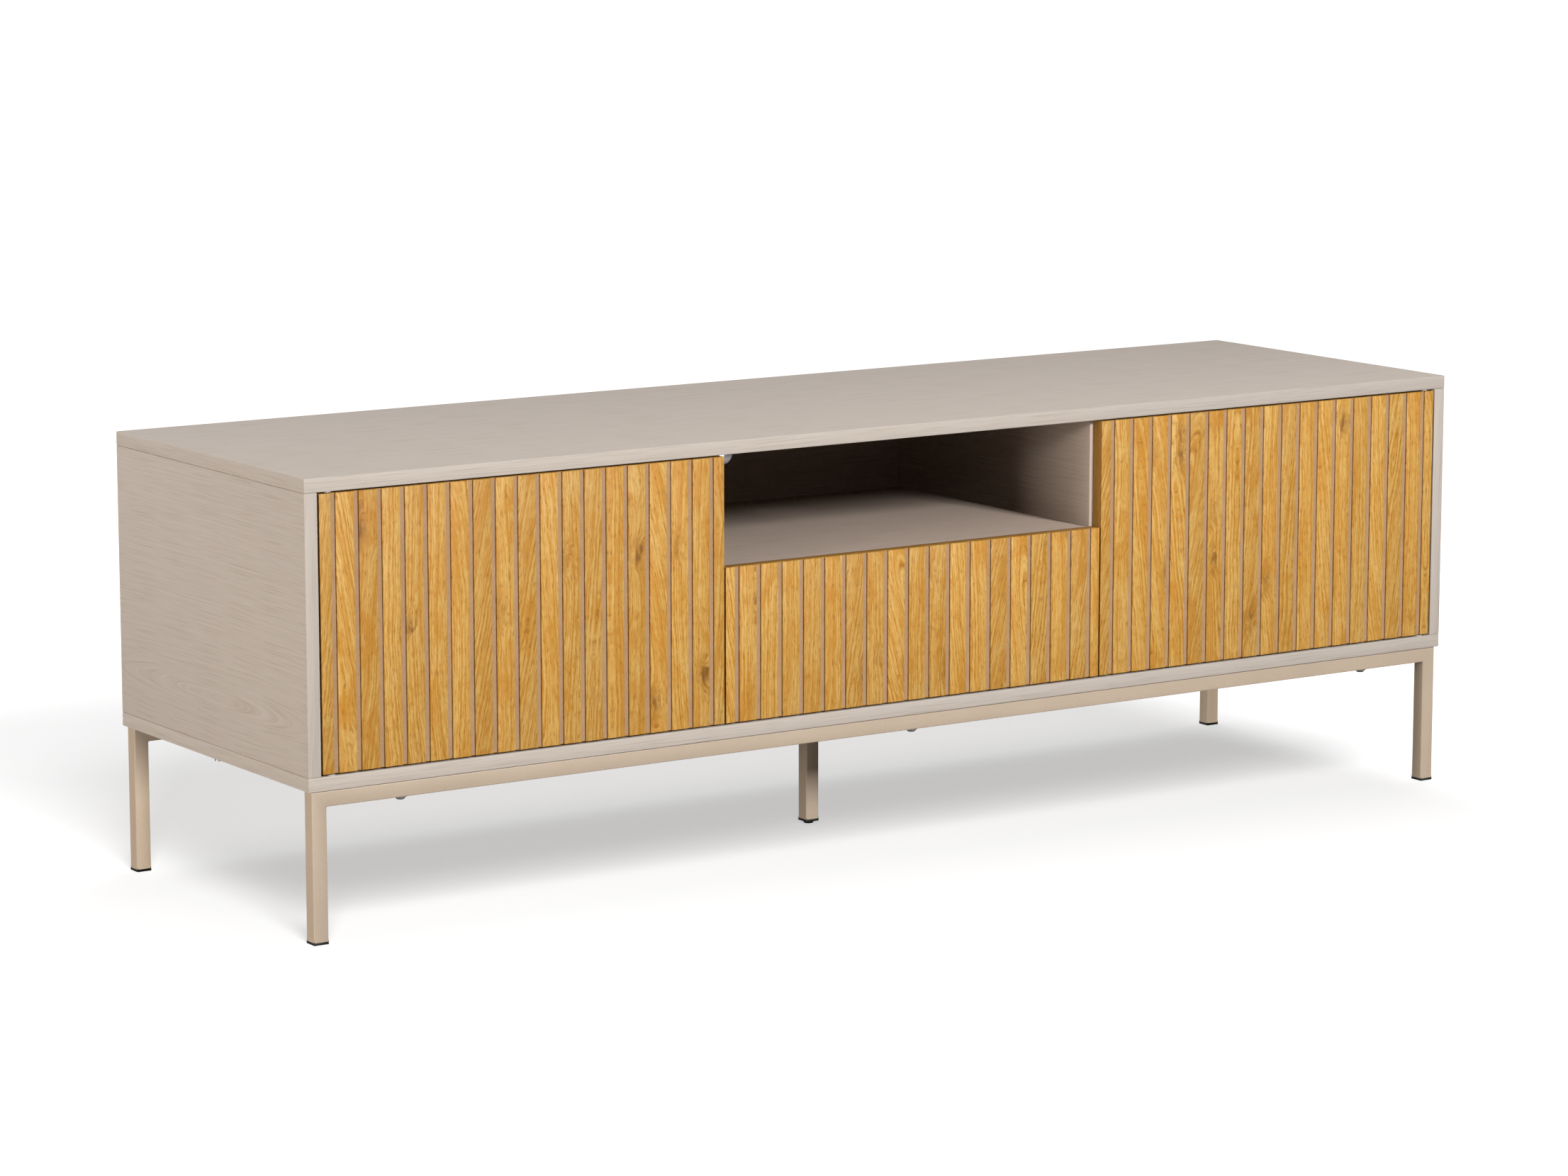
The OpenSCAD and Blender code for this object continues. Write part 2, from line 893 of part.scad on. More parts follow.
module drawer_left_side() {
  head_bore = box_screw_head_t + fit;
  color(beige)
    difference() {
      block([-box_half_w, -box_inner_half_w], box_y, box_z);
      drawer_bottom_block(groove_slack);
      box_bolt_rods(0.2);
      for (z = box_cam_z) {
        rod_x([-box_inner_half_w - box_cam_depth, box_cam_y, z], box_cam_r + fit, box_cam_depth + over);
        rod_x([-box_half_w - over, box_y[1] - box_t / 2, z], box_screw_head_r + fit, head_bore + over);
      }
      box_screw_rods(fit);
      drawer_rail_screw_rods(fit);
    }
}

module drawer_right_side() {
  right_half() drawer_left_side();
}

module drawer_back() {
  color(beige)
    difference() {
      block([-box_inner_half_w, box_inner_half_w], [box_y[1] - box_t, box_y[1]], box_z);
      drawer_bottom_block(groove_slack);
      both_halves() box_screw_rods(fit);
    }
}

module drawer_bottom() {
  color(beige) drawer_bottom_block(0);
}

module drawer_cam_locks() {
  color(zinc)
    both_halves()
      for (z = box_cam_z)
        translate([-box_inner_half_w, box_cam_y, z])
          rotate([90, 0, 0])
            cam_lock(box_cam_r, box_cam_depth, box_t / 2, box_bolt_r + 0.2, box_cam_r + over);
}

module drawer_cam_bolts() {
  color(zinc) both_halves() box_bolt_rods(0);
}

module drawer_back_screws() {
  color(zinc)
    both_halves()
      for (z = box_cam_z)
        translate([-box_half_w, box_y[1] - box_t / 2, z]) {
          rod_x([0, 0, 0], box_screw_head_r, box_screw_head_t);
          rod_x([0, 0, 0], box_screw_r, box_screw_len - fit);
        }
}

module drawer_strike() {
  strike(0, drawer_latch_z);
}

module drawer_plunger() {
  plunger(0, drawer_latch_z);
}

// ---------------------------------------------------------------- runners

// Channel of bent sheet along Y: web at x[0] when open is 1, at x[1] when open is -1
module channel(x, height, open) {
  web_x = open > 0 ? [x[0], x[0] + sheet_t] : [x[1] - sheet_t, x[1]];
  low = runner_mid_z - height / 2;
  high = runner_mid_z + height / 2;
  block(web_x, runner_y, [low, high]);
  block(x, runner_y, [low, low + sheet_t]);
  block(x, runner_y, [high - sheet_t, high]);
}

// Screws along a runner: shanks from the plane x towards -X or +X
module runner_rods(x, towards, r, len) {
  for (y = runner_screw_y)
    rod_x([towards > 0 ? x : x - len, runner_y[0] + y, runner_mid_z], r, len);
}

module cabinet_rail_screw_rods(slack) {
  runner_rods(
    partition_in_x + sheet_t + over, -1, runner_screw_r + slack,
    runner_screw_len + sheet_t + over
  );
}

module drawer_rail_screw_rods(slack) {
  runner_rods(
    -box_half_w - sheet_t - over, 1, runner_screw_r + slack,
    runner_screw_len + sheet_t + over
  );
}

module left_runner_cabinet_rail() {
  color(zinc)
    difference() {
      channel([partition_in_x, partition_in_x + cabinet_rail_reach], runner_h, 1);
      cabinet_rail_screw_rods(0.2);
    }
}

module left_runner_middle_rail() {
  color(zinc)
    channel(
      [partition_in_x + middle_rail_x[0], partition_in_x + middle_rail_x[1]],
      middle_rail_h, 1
    );
}

module left_runner_drawer_rail() {
  color(zinc)
    difference() {
      channel([-box_half_w - drawer_rail_reach, -box_half_w], drawer_rail_h, -1);
      drawer_rail_screw_rods(0.2);
    }
}

module right_runner_cabinet_rail() {
  right_half() left_runner_cabinet_rail();
}

module right_runner_middle_rail() {
  right_half() left_runner_middle_rail();
}

module right_runner_drawer_rail() {
  right_half() left_runner_drawer_rail();
}

module runner_cabinet_screws() {
  web_x = partition_in_x + sheet_t;
  color(zinc)
    both_halves() {
      runner_rods(web_x, -1, runner_screw_r, runner_screw_len);
      runner_rods(web_x, 1, runner_screw_head_r, runner_screw_head_t);
    }
}

module runner_drawer_screws() {
  web_x = -box_half_w - sheet_t;
  color(zinc)
    both_halves() {
      runner_rods(web_x, 1, runner_screw_r, runner_screw_len);
      runner_rods(web_x, -1, runner_screw_head_r, runner_screw_head_t);
    }
}

// ---------------------------------------------------------------- assembly

top_panel();
bottom_panel();
left_side_panel();
right_side_panel();
left_partition();
right_partition();
niche_shelf();
left_back_panel();
niche_back_panel();
right_back_panel();
cable_grommet();
left_bay_shelf();
right_bay_shelf();
shelf_pins();
wood_dowels();
cam_locks();
cam_bolts();
confirmat_screws();
front_leg_frame();
rear_leg_frame();
leg_end_caps();
frame_screws();
centre_leg();
centre_leg_cap();
centre_leg_screws();
levelling_glide();
pivot_sockets();
push_latch_bodies();
push_latch_screws();
left_door_board();
left_door_slats();
left_door_edging();
left_door_pivot_pins();
left_door_strike();
left_door_plunger();
right_door_board();
right_door_slats();
right_door_edging();
right_door_pivot_pins();
right_door_strike();
right_door_plunger();
drawer_front_board();
drawer_front_slats();
drawer_front_edging();
drawer_left_side();
drawer_right_side();
drawer_back();
drawer_bottom();
drawer_cam_locks();
drawer_cam_bolts();
drawer_back_screws();
drawer_strike();
drawer_plunger();
left_runner_cabinet_rail();
right_runner_cabinet_rail();
left_runner_middle_rail();
right_runner_middle_rail();
left_runner_drawer_rail();
right_runner_drawer_rail();
runner_cabinet_screws();
runner_drawer_screws();
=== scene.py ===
"""Looks of the media cabinet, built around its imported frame.

Lengths are in metres, but for the turned outlines' millimetres. The axes are the frame's: +X to the
right, +Y to the back, +Z up.
"""

import json
import math
import random

import bmesh
import bpy
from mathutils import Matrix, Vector


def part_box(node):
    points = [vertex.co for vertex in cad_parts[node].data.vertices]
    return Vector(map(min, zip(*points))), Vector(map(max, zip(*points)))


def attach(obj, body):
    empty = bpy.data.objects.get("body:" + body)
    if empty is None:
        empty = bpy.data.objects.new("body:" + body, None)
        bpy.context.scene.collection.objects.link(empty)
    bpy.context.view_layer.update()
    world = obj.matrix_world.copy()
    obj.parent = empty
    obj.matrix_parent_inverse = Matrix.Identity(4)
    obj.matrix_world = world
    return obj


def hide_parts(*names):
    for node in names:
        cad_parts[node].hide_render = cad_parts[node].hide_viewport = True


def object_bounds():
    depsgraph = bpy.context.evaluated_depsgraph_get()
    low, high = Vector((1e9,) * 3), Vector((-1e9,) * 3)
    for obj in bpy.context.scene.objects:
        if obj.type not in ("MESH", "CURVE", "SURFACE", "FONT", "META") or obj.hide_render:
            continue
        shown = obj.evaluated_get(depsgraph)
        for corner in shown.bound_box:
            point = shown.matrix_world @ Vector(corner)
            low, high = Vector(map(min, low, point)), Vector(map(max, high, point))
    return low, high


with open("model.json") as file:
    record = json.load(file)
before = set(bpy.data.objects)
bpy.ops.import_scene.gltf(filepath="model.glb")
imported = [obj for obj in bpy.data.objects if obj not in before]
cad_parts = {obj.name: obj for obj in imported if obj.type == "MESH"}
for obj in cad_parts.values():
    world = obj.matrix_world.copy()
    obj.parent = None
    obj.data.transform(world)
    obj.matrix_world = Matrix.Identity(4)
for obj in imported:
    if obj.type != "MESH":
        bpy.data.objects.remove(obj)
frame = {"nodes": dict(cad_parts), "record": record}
cad_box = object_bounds()

RECORD = frame["record"]
BODY_OF = {node: body for body, nodes in RECORD["behaviour"]["bodies"].items() for node in nodes}
SLOT_OF = {part["node"]: part["material_slot"] for part in RECORD["subparts"]}

MM = 0.001
BOARD_ARRIS = 1.1 * MM
SLAT_ARRIS = 0.6 * MM
THIN_ARRIS = 0.2 * MM
TUBE_ROUNDING = 1.8 * MM
CAP_THICKNESS = 3.0 * MM
CAP_ARRIS = 0.4 * MM
CAP_LIP = 0.3 * MM
CAP_NECK = 1.5 * MM
PLATE_THICKNESS = 3.0 * MM
PLATE_ARRIS = 0.8 * MM
WELD_REACH = 1.2 * MM
WELD_HEIGHT = 2.0 * MM
WELD_ROUNDING = 1.1 * MM
SMOOTH_ANGLE = math.radians(38)
TURNED_SIDES = 32
TOUCHING = 1e-6
ON_BOX = 1e-5
RINGS_PER_METRE = 400.0
FIBRES_PER_METRE = 650.0

# Pieces rebuilt in detail
BOARDS = (
    "top_panel", "bottom_panel", "left_side_panel", "right_side_panel", "left_partition",
    "right_partition", "niche_shelf", "left_bay_shelf", "right_bay_shelf",
    "drawer_left_side", "drawer_right_side", "drawer_back",
)
THIN_BOARDS = (
    "left_back_panel", "niche_back_panel", "right_back_panel", "drawer_bottom",
    "left_door_edging", "right_door_edging", "drawer_front_edging",
)
SLATS = ("left_door_slats", "drawer_front_slats", "right_door_slats")
CAPS = ("leg_end_caps", "centre_leg_cap")

# Colours, linear
BEIGE = (0.640, 0.563, 0.497, 1)
BEIGE_DARK = (0.490, 0.410, 0.342, 1)
BEIGE_LIGHT = (0.685, 0.609, 0.543, 1)
# Painted shade: a warm tint for the inner boards and back panels that stands in for the warm cast of the
# cabinet's shaded inside
SHADE_WARMTH = (1.03, 0.935, 0.880, 1)
OAK_LIGHT = (0.850, 0.560, 0.185, 1)
OAK_MID = (0.770, 0.430, 0.090, 1)
OAK_ORANGE = (0.660, 0.295, 0.040, 1)
OAK_BROWN = (0.560, 0.240, 0.026, 1)
OAK_DARK = (0.350, 0.130, 0.016, 1)
KNOT = (0.200, 0.075, 0.014, 1)
EDGING = (0.560, 0.270, 0.060, 1)
FIBREBOARD = (0.640, 0.400, 0.225, 1)
FIBREBOARD_DARK = (0.500, 0.300, 0.165, 1)
BEECH = (0.680, 0.470, 0.270, 1)
POWDER_COAT = (0.650, 0.520, 0.395, 1)
ZINC = (0.800, 0.810, 0.820, 1)
SHEET_ZINC = (0.600, 0.620, 0.640, 1)
BLACK = (0.008, 0.008, 0.008, 1)
WHITE = (0.780, 0.770, 0.730, 1)
# Painted shade: the cable grommet's grey, dark enough to stand in for the shade seen through the cable hole
GROMMET_SHADE_GREY = (0.480, 0.430, 0.400, 1)


# ---------------------------------------------------------------- camera, light and floor

def make_camera():
    """Camera at the photograph's viewing angle."""
    data = bpy.data.cameras.new("camera")
    data.lens = 113.13
    data.clip_end = 200
    camera = bpy.data.objects.new("camera", data)
    camera.location = (-3.24935, -4.83191, 1.27458)
    camera.rotation_euler = (math.radians(80.3776), 0, math.radians(-33.6295))
    bpy.context.scene.collection.objects.link(camera)
    bpy.context.scene.camera = camera


def make_area_light(name, position, size, power, colour=(1, 1, 1), bounces=12):
    """Square soft box at position, turned towards the cabinet."""
    data = bpy.data.lights.new(name, "AREA")
    data.shape = "SQUARE"
    data.size = size
    data.energy = power
    data.color = colour
    data.cycles.max_bounces = bounces
    light = bpy.data.objects.new(name, data)
    light.location = position
    light.rotation_mode = "QUATERNION"
    light.rotation_quaternion = (Vector((0, 0, 0.3)) - Vector(position)).to_track_quat("-Z", "Y")
    bpy.context.scene.collection.objects.link(light)
    return light


def link_light(light, pieces, state):
    """Let the light reach only these pieces ("INCLUDE") or everything else ("EXCLUDE")."""
    receivers = bpy.data.collections.new(light.name + "_receivers")
    for piece in pieces:
        receivers.objects.link(piece)
        receivers.collection_objects[-1].light_linking.link_state = state
    light.light_linking.receiver_collection = receivers


def make_lights(floor):
    """Soft key from the front, large box overhead, fills from the sides and the back.

    The floor has a key, more to the left, and an overhead of its own, which set its soft shadow.
    """
    warm = (1.0, 0.94, 0.875)
    for light in (
        make_area_light("key", (0.6, -5.2, 2.65), 1.0, 256, bounces=0),
        make_area_light("overhead", (1.0, 1.4, 4.2), 3.0, 42),
        make_area_light("left_fill", (-5.4, -0.7, 0.45), 2.2, 202, colour=warm),
        make_area_light("right_fill", (4.0, 1.4, 3.4), 2.2, 28, colour=warm),
        make_area_light("back_fill", (-0.9, 3.2, 1.9), 2.0, 48),
    ):
        link_light(light, [floor], "EXCLUDE")
    for light in (
        make_area_light("floor_key", (-2.2, -3.9, 3.45), 2.2, 215),
        make_area_light("floor_overhead", (1.0, 0.9, 3.8), 2.4, 34),
    ):
        link_light(light, [floor], "INCLUDE")


def make_base_light(pieces):
    """Soft box near the floor that lights only these pieces, from the front."""
    light = make_area_light("base_fill", (-0.4, -3.2, 0.3), 0.6, 75, colour=(1.0, 0.95, 0.88), bounces=0)
    link_light(light, pieces, "INCLUDE")


def make_world():
    """White surround for the camera, grey for reflections and a weak glow for the rest."""
    world = bpy.data.worlds.new("surround")
    bpy.context.scene.world = world
    world.use_nodes = True
    tree = world.node_tree
    tree.nodes.clear()
    rays = add(tree, "ShaderNodeLightPath").outputs
    reflected = scaled(tree, rays["Is Glossy Ray"], 0.26, 0.04)
    strength = maths(tree, "MAXIMUM", reflected, rays["Is Camera Ray"])
    surround = add(tree, "ShaderNodeBackground", {"Color": (1, 1, 1, 1), "Strength": strength})
    add(tree, "ShaderNodeOutputWorld", {"Surface": surround.outputs[0]})


def floor_glow(tree):
    """Strength of the floor's glow: pure white far from the cabinet and beyond its right end."""
    near = 0.51
    _, high = cad_box
    x, y, _ = object_place(tree)
    outside_x, outside_y = (
        maths(tree, "MAXIMUM", maths(tree, "SUBTRACT", maths(tree, "ABSOLUTE", value), edge), 0.0)
        for value, edge in ((x, high[0]), (y, high[1]))
    )
    far_glow = rescale(tree, length(tree, outside_x, outside_y), 0.8, 1.5, near, 1.0)
    right_glow = rescale(tree, x, high[0] - 0.1, high[0] + 0.2, near, 1.0)
    return maths(tree, "MAXIMUM", far_glow, right_glow)


def floor_white():
    """Pale glowing floor for the camera, duller for other rays and clear from below."""
    material = bpy.data.materials.new("floor_white")
    material.use_nodes = True
    tree = material.node_tree
    tree.nodes.clear()
    paper = add(tree, "ShaderNodeBsdfDiffuse", {"Color": (0.90, 0.90, 0.90, 1)})
    glow = add(tree, "ShaderNodeEmission", {"Color": (1, 1, 1, 1), "Strength": floor_glow(tree)})
    both = add(tree, "ShaderNodeAddShader", {0: paper.outputs[0], 1: glow.outputs[0]})
    dull = add(tree, "ShaderNodeBsdfDiffuse", {"Color": (0.30, 0.285, 0.265, 1)})
    clear = add(tree, "ShaderNodeBsdfTransparent")
    seen = add(tree, "ShaderNodeLightPath").outputs["Is Camera Ray"]
    upper = add(tree, "ShaderNodeMixShader", {0: seen, 1: dull.outputs[0], 2: both.outputs[0]})
    below = add(tree, "ShaderNodeNewGeometry").outputs["Backfacing"]
    chosen = add(tree, "ShaderNodeMixShader", {0: below, 1: upper.outputs[0], 2: clear.outputs[0]})
    add(tree, "ShaderNodeOutputMaterial", {"Surface": chosen.outputs[0]})
    return material


def make_floor():
    """Large floor just under the cabinet."""
    half = 60
    mesh = bpy.data.meshes.new("floor")
    mesh.from_pydata(
        [(-half, -half, 0), (half, -half, 0), (half, half, 0), (-half, half, 0)], [], [(0, 1, 2, 3)]
    )
    mesh.materials.append(floor_white())
    floor = bpy.data.objects.new("floor", mesh)
    floor.location.z = -0.05 * MM
    bpy.context.scene.collection.objects.link(floor)
    return floor


# ---------------------------------------------------------------- node helpers

def add(tree, kind, inputs=None, **settings):
    """Adds a node, sets its properties, and links or fills its inputs."""
    node = tree.nodes.new(kind)
    for name, value in settings.items():
        setattr(node, name, value)
    for name, value in (inputs or {}).items():
        if isinstance(value, bpy.types.NodeSocket):
            tree.links.new(value, node.inputs[name])
        else:
            node.inputs[name].default_value = value
    return node


def maths(tree, operation, *values):
    """Result of one Math node."""
    return add(tree, "ShaderNodeMath", dict(enumerate(values)), operation=operation).outputs[0]


def scaled(tree, value, factor, shift=0.0):
    """value times factor plus shift."""
    return maths(tree, "MULTIPLY_ADD", value, factor, shift)


def total(tree, *values):
    """Sum of the values."""
    result = values[0]
    for value in values[1:]:
        result = maths(tree, "ADD", result, value)
    return result


def length(tree, first, second):
    """Length of the flat vector (first, second)."""
    squares = (maths(tree, "MULTIPLY", value, value) for value in (first, second))
    return maths(tree, "SQRT", total(tree, *squares))


def mix(tree, first, second, share):
    """share of the first value and the rest of the second."""
    return total(tree, scaled(tree, first, share), scaled(tree, second, 1 - share))


def blend(tree, factor, first, second, mode="MIX"):
    """Colour mixed from first to second by factor."""
    node = add(tree, "ShaderNodeMix", {0: factor, 6: first, 7: second}, data_type="RGBA", blend_type=mode)
    return node.outputs[2]


def rescale(tree, value, low, high, to_low=0.0, to_high=1.0):
    """Value taken smoothly from the range low..high to to_low..to_high."""
    node = add(
        tree, "ShaderNodeMapRange", {0: value, 1: low, 2: high, 3: to_low, 4: to_high},
        interpolation_type="SMOOTHSTEP",
    )
    return node.outputs[0]


def noise(tree, place, scale, detail=2.0, roughness=0.5, distortion=0.0):
    """Smooth noise from 0 to 1 at place."""
    node = add(tree, "ShaderNodeTexNoise", {
        "Vector": place, "Scale": scale, "Detail": detail, "Roughness": roughness,
        "Distortion": distortion,
    })
    return node.outputs[0]


def noise_line(tree, value, detail=1.0):
    """Smooth noise from 0 to 1 along a single coordinate."""
    node = add(
        tree, "ShaderNodeTexNoise", {"W": value, "Scale": 1.0, "Detail": detail},
        noise_dimensions="1D",
    )
    return node.outputs[0]


def join(tree, x, y, z):
    """Vector from three values."""
    return add(tree, "ShaderNodeCombineXYZ", {0: x, 1: y, 2: z}).outputs[0]


def object_place(tree):
    """The three object coordinates, in metres."""
    place = add(tree, "ShaderNodeTexCoord").outputs["Object"]
    return add(tree, "ShaderNodeSeparateXYZ", {0: place}).outputs


def facing(tree, axis):
    """1 where the surface faces along the axis, 0 elsewhere."""
    normal = add(tree, "ShaderNodeTexCoord").outputs["Normal"]
    parts = add(tree, "ShaderNodeSeparateXYZ", {0: normal}).outputs
    return maths(tree, "GREATER_THAN", maths(tree, "ABSOLUTE", parts["XYZ".index(axis)]), 0.6)


def new_material(name):
    """Empty material with its shader and output, and the shader's own node."""
    material = bpy.data.materials.new(name)
    material.use_nodes = True
    tree = material.node_tree
    tree.nodes.clear()
    shader = add(tree, "ShaderNodeBsdfPrincipled")
    add(tree, "ShaderNodeOutputMaterial", {"Surface": shader.outputs[0]})
    return material, tree, shader


def set_surface(tree, shader, colour, roughness, height, distance, specular=0.5):
    """Colour, roughness and specular level, and a bump of height (0 to 1) times distance (metres)."""
    bump = add(tree, "ShaderNodeBump", {"Height": height, "Distance": distance, "Strength": 1.0})
    tree.links.new(colour, shader.inputs["Base Color"])
    tree.links.new(roughness, shader.inputs["Roughness"])
    tree.links.new(bump.outputs[0], shader.inputs["Normal"])
    shader.inputs["Specular IOR Level"].default_value = specular


def shade(colour, factor, lift=0.0):
    """The colour times factor plus lift, no brighter than 1."""
    return tuple(min(1.0, value * factor + lift) for value in colour[:3]) + (1,)


def wood_figure(tree, place, seed, slope, bend, fibre):
    """Growth of a board: (ring radius in metres, ring lines, fine fibres), the last two 0 to 1.

    place is (across, depth, along) from the pith. The rings are cylinders around the pith, which
    rises by slope along the board: straight lines far from it and arches over it. They wander by
    bend, and each fibre is about fibre metres long.
    """
    across, depth, along = place
    moved = total(tree, along, seed)
    slow = join(tree, scaled(tree, across, 5.0), scaled(tree, depth, 5.0), moved)
    wander = scaled(tree, noise(tree, slow, 3.0), bend, -bend / 2)
    ripple_place = join(tree, scaled(tree, across, 40.0), depth, scaled(tree, moved, 20.0))
    ripple = scaled(tree, noise(tree, ripple_place, 1.0), bend * 0.14, -bend * 0.07)
    rise = total(tree, scaled(tree, along, slope), wander, depth)
    ring = length(tree, total(tree, across, ripple), rise)
    lines = noise_line(tree, scaled(tree, ring, RINGS_PER_METRE, 11.0))
    fibre_place = join(tree, scaled(tree, ring, FIBRES_PER_METRE), 0.0, scaled(tree, moved, 1.0 / fibre))
    fibres = noise(tree, fibre_place, 1.0, detail=3.0, roughness=0.6)
    return ring, lines, fibres


def streaks(tree, ring, along, width, reach, low, high):
    """Short dark pores that follow the rings: 1 in a pore, 0 between."""
    place = join(tree, scaled(tree, ring, 1.0 / width), 3.0, scaled(tree, along, 1.0 / reach))
    return rescale(tree, noise(tree, place, 1.0, detail=1.5), low, high)


# ---------------------------------------------------------------- materials

def board_place(tree):
    """The piece's own seed (three values) and the place inside it from its centre."""
    seed = add(tree, "ShaderNodeAttribute", attribute_name="seed").outputs["Vector"]
    local = add(tree, "ShaderNodeAttribute", attribute_name="local").outputs["Vector"]
    return (
        add(tree, "ShaderNodeSeparateXYZ", {0: seed}).outputs,
        add(tree, "ShaderNodeSeparateXYZ", {0: local}).outputs,
    )


def board_grain(tree, place, faces):
    """(across from the pith, along) on a printed board, by the axis that the surface faces.

    faces gives for the surfaces facing X, Y and Z the across and along axes, and how far across
    from the middle the pith lies; each face starts at a different place along the print.
    """
    vectors = []
    for face, (axes, pith) in enumerate(faces):
        across, along = (place["XYZ".index(axis)] for axis in axes)
        vectors.append(join(tree, scaled(tree, across, 1.0, -pith), 0.0, scaled(tree, along, 1.0, face)))
    facing_x, facing_y, chosen = vectors
    for axis, vector in (("Y", facing_y), ("X", facing_x)):
        node = add(tree, "ShaderNodeMix", {0: facing(tree, axis), 4: chosen, 5: vector}, data_type="VECTOR")
        chosen = node.outputs[1]
    across, _, along = add(tree, "ShaderNodeSeparateXYZ", {0: chosen}).outputs
    return across, along


def beige_board(name, faces, slope, tint=(1, 1, 1, 1)):
    """Matt beige woodgrain board whose edges are banded with their own grain."""
    material, tree, shader = new_material(name)
    seeds, local = board_place(tree)
    across, along = board_grain(tree, local, faces)
    seed = scaled(tree, seeds[0], 31.0)
    ring, lines, fibres = wood_figure(tree, (across, 0.0, along), seed, slope, 0.012, 0.120)
    both = mix(tree, lines, fibres, 0.40)
    pores = streaks(tree, ring, total(tree, along, seed), 0.0014, 0.080, 0.50, 0.70)
    colour = blend(tree, rescale(tree, both, 0.34, 0.66), BEIGE, BEIGE_LIGHT)
    colour = blend(tree, scaled(tree, pores, 0.42), colour, BEIGE_DARK)
    # The tint multiplies the colour; the warm tint given to the inner boards and back panels is painted
    # shade
    colour = blend(tree, 1.0, colour, tint, "MULTIPLY")
    height = maths(tree, "SUBTRACT", both, scaled(tree, pores, 0.8))
    roughness = rescale(tree, height, 0.0, 0.7, 0.74, 0.62)
    set_surface(tree, shader, colour, roughness, height, 0.12 * MM, specular=0.25)
    return material


def knots(tree, across, shifted, first, second):
    """Knots in a few cells of a stretched, warped pattern: (stained area, dark core), 0 to 1."""
    warp = noise(tree, join(tree, scaled(tree, across, 160.0), first, scaled(tree, shifted, 60.0)), 1.0)
    place = join(
        tree,
        total(tree, scaled(tree, across, 42.0), scaled(tree, first, 91.0), warp),
        scaled(tree, second, 57.0),
        total(tree, scaled(tree, shifted, 17.0), scaled(tree, warp, 0.5)),
    )
    cells = add(tree, "ShaderNodeTexVoronoi", {"Vector": place, "Scale": 1.0})
    lottery = add(tree, "ShaderNodeSeparateColor", {0: cells.outputs["Color"]}).outputs[0]
    chosen = maths(tree, "GREATER_THAN", lottery, 0.87)
    stain = maths(tree, "MULTIPLY", rescale(tree, cells.outputs["Distance"], 0.0, 0.60, 1.0, 0.0), chosen)
    core = maths(tree, "MULTIPLY", rescale(tree, cells.outputs["Distance"], 0.06, 0.24, 1.0, 0.0), chosen)
    return stain, core


def oak_grain(tree, place, seeds, stain):
    """Place across and along the grain, which runs askew in some pieces and around the knots."""
    across, depth, along = place
    first, second, _ = seeds
    askew = maths(tree, "POWER", scaled(tree, second, 2.0, -1.0), 3.0)
    pith = scaled(tree, first, 0.08, -0.04)
    drift = maths(tree, "MULTIPLY", along, scaled(tree, askew, 0.30))
    pushed = total(tree, maths(tree, "SUBTRACT", across, pith), drift, scaled(tree, stain, 0.010))
    return pushed, depth, along


def oak_tones(tree, lines, fibres, clouds, bands, mottle):
    """Oak colour from its ring lines and fibres and its broad, long and fine tone changes."""
    colour = blend(tree, rescale(tree, lines, 0.36, 0.62), OAK_ORANGE, OAK_LIGHT)
    colour = blend(tree, 0.30, colour, OAK_MID)
    for pattern, low, high, at_low, at_high, tone in (
        (lines, 0.30, 0.42, 0.40, 0.0, OAK_BROWN),
        (clouds, 0.50, 0.66, 0.0, 0.80, OAK_ORANGE),
        (clouds, 0.34, 0.50, 0.60, 0.0, OAK_LIGHT),
        (bands, 0.52, 0.66, 0.0, 0.60, OAK_ORANGE),
        (fibres, 0.46, 0.72, 0.0, 0.75, OAK_BROWN),
        (mottle, 0.42, 0.70, 0.0, 0.30, OAK_BROWN),
    ):
        colour = blend(tree, rescale(tree, pattern, low, high, at_low, at_high), colour, tone)
    return colour


